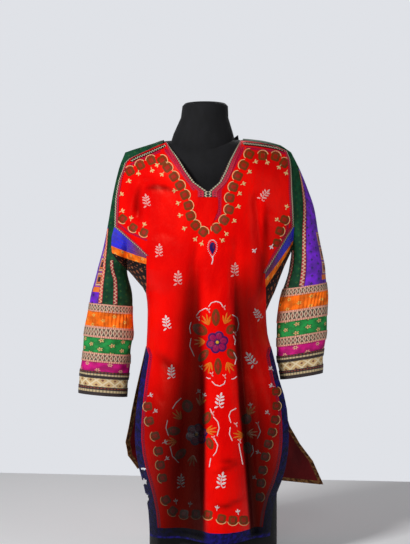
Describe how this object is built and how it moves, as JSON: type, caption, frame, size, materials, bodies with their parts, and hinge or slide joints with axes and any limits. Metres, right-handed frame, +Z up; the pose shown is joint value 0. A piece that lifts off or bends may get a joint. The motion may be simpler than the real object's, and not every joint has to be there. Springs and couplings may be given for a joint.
{
  "type": "embroidered silk robe on dress form",
  "caption": "Knee-length red satin robe with embroidered panels and patchwork sleeves with banded cuffs, worn by a limbless black dress form.",
  "frame": {"origin": "middle of the dress form's flat base, on the surface that it stands on", "axes": "+X to the right as seen from the front, +Y to the back, +Z up"},
  "size_m": [0.6298, 0.3431, 1.13],
  "materials": {
    "form_cloth": "matt black jersey over a moulded form",
    "red_satin": "lustrous silk satin",
    "green_silk": "dull silk with small woven figures",
    "purple_silk": "silk with a column of square figures",
    "blue_silk": "striped silk",
    "orange_silk": "gathered printed silk",
    "magenta_silk": "figured silk",
    "black_floral": "dark silk with small flowers",
    "gold_brocade": "woven brocade with a lattice",
    "zigzag_braid": "metal thread zigzag on dark silk",
    "maroon_braid": "narrow woven braid",
    "dark_edge": "dark striped binding",
    "lace": "metal thread lace",
    "navy_binding": "worn silk binding",
    "tan_binding": "cotton binding"
  },
  "bodies": {
    "root": {"dress_form": "form_cloth", "front_panel": "red_satin", "back_panel": "red_satin", "neck_insert": "red_satin", "neck_braid": "zigzag_braid", "back_neck_band": "zigzag_braid", "slit_binding_left": "navy_binding", "slit_binding_right": "navy_binding", "hem_binding": "navy_binding", "back_binding_left": "tan_binding", "back_binding_right": "tan_binding", "back_hem_binding": "tan_binding", "edge_braid_left": "zigzag_braid", "shoulder_band_left": "green_silk", "gore_blue_left": "blue_silk", "gore_orange_left": "orange_silk", "gore_black_left": "black_floral", "gore_floral_left": "black_floral", "sleeve_purple_left": "purple_silk", "sleeve_green_front_left": "green_silk", "sleeve_green_back_left": "green_silk", "sleeve_under_left": "green_silk", "braid_outer_front_left": "maroon_braid", "braid_outer_back_left": "maroon_braid", "braid_inner_front_left": "maroon_braid", "braid_inner_back_left": "maroon_braid", "cuff_gold_left": "gold_brocade", "cuff_magenta_left": "magenta_silk", "cuff_green_left": "green_silk", "cuff_orange_left": "orange_silk", "cuff_edge_left": "dark_edge", "cuff_stripe_left": "dark_edge", "cuff_lace_low_left": "lace", "cuff_lace_middle_left": "lace", "cuff_lace_top_left": "lace", "edge_braid_right": "zigzag_braid", "shoulder_band_right": "green_silk", "gore_blue_right": "blue_silk", "gore_orange_right": "orange_silk", "gore_black_right": "black_floral", "gore_floral_right": "black_floral", "sleeve_purple_right": "purple_silk", "sleeve_green_front_right": "green_silk", "sleeve_green_back_right": "green_silk", "sleeve_under_right": "green_silk", "braid_outer_front_right": "maroon_braid", "braid_outer_back_right": "maroon_braid", "braid_inner_front_right": "maroon_braid", "braid_inner_back_right": "maroon_braid", "cuff_gold_right": "gold_brocade", "cuff_magenta_right": "magenta_silk", "cuff_green_right": "green_silk", "cuff_orange_right": "orange_silk", "cuff_edge_right": "dark_edge", "cuff_stripe_right": "dark_edge", "cuff_lace_low_right": "lace", "cuff_lace_middle_right": "lace", "cuff_lace_top_right": "lace"}
  },
  "joints": []
}
